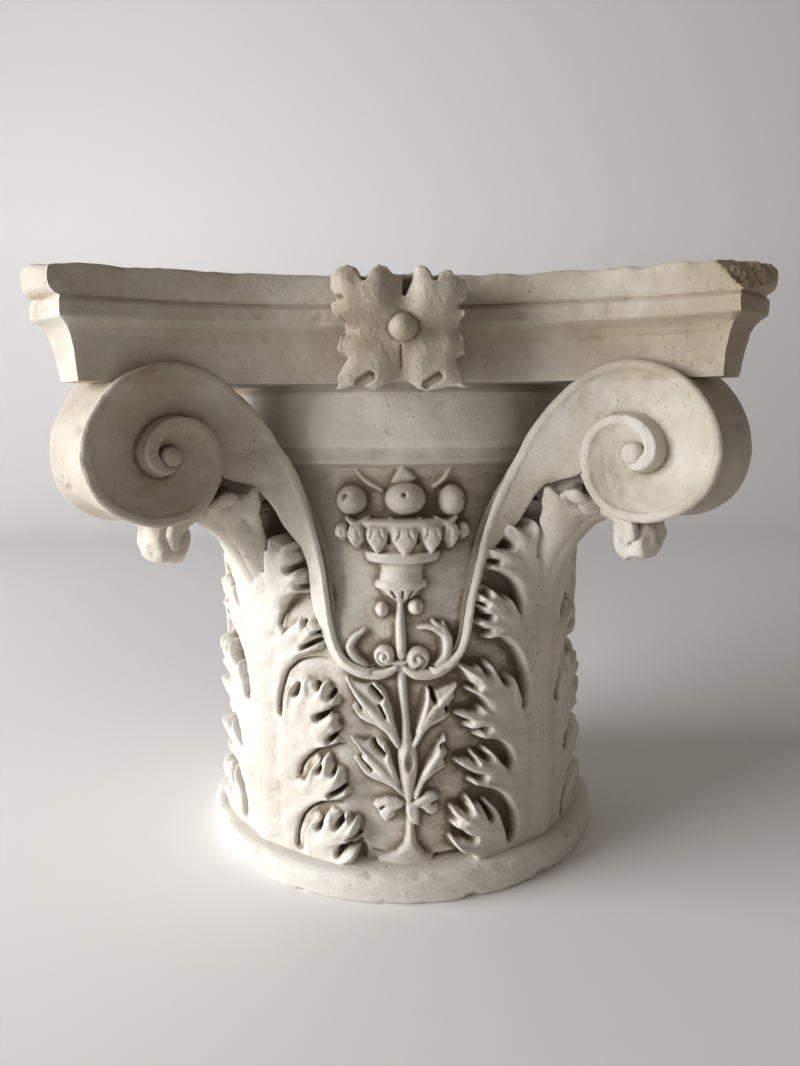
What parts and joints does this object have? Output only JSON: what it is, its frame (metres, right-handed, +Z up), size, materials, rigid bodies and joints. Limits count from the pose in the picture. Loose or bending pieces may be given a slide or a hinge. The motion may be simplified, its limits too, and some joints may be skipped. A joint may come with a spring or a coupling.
{
  "type": "carved column capital",
  "caption": "Carved marble column capital with leaves, corner scrolls, a fruit vase on each side and a hollow-sided abacus with one broken corner.",
  "frame": {"origin": "middle of the underside, where the capital stands on its shaft", "axes": "+Z up, -Y out of the front face, corners on the diagonals"},
  "size_m": [0.3536, 0.3536, 0.34],
  "materials": {
    "marble": "aged off-white marble, smooth and matt on the high places, brown dirt in the cuts"
  },
  "bodies": {
    "root": {"capital": "marble"}
  },
  "joints": []
}
